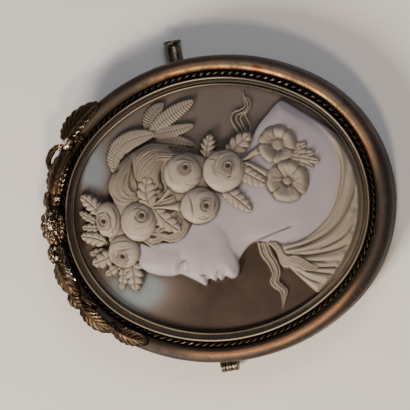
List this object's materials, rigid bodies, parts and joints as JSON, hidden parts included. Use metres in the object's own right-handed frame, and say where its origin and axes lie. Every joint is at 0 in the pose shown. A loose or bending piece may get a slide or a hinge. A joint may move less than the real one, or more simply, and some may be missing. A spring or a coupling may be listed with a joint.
{
  "type": "pendant brooch",
  "caption": "Oval shell cameo in a hollow gilt frame with rope border, applied garland, hinged pin, tube catch and a chain loop behind.",
  "frame": {"origin": "under the middle of the whole brooch, on the surface that it lies on face up", "axes": "+Y towards the top of the brooch, +X towards its knob, +Z out of its face"},
  "size_m": [0.0562, 0.0593, 0.0106],
  "materials": {
    "gilt_metal": "hollow pressed gilt metal with a warm copper tone, worn and tarnished",
    "rope_wire": "twisted gilt wire, dark and slightly green between the strands",
    "cast_garland": "cast and chased leaves, worn bright on top and dark in the hollows",
    "carved_shell": "two-layered helmet shell, cream carving on a translucent brown ground, satin polish",
    "pin_metal": "plain drawn wire and tube, greyish gold"
  },
  "bodies": {
    "root": {"frame": "gilt_metal", "rope_border": "rope_wire", "garland": "cast_garland", "cameo": "carved_shell", "pin": "pin_metal", "hinge_rivet": "pin_metal", "catch_plunger": "pin_metal"}
  },
  "joints": []
}
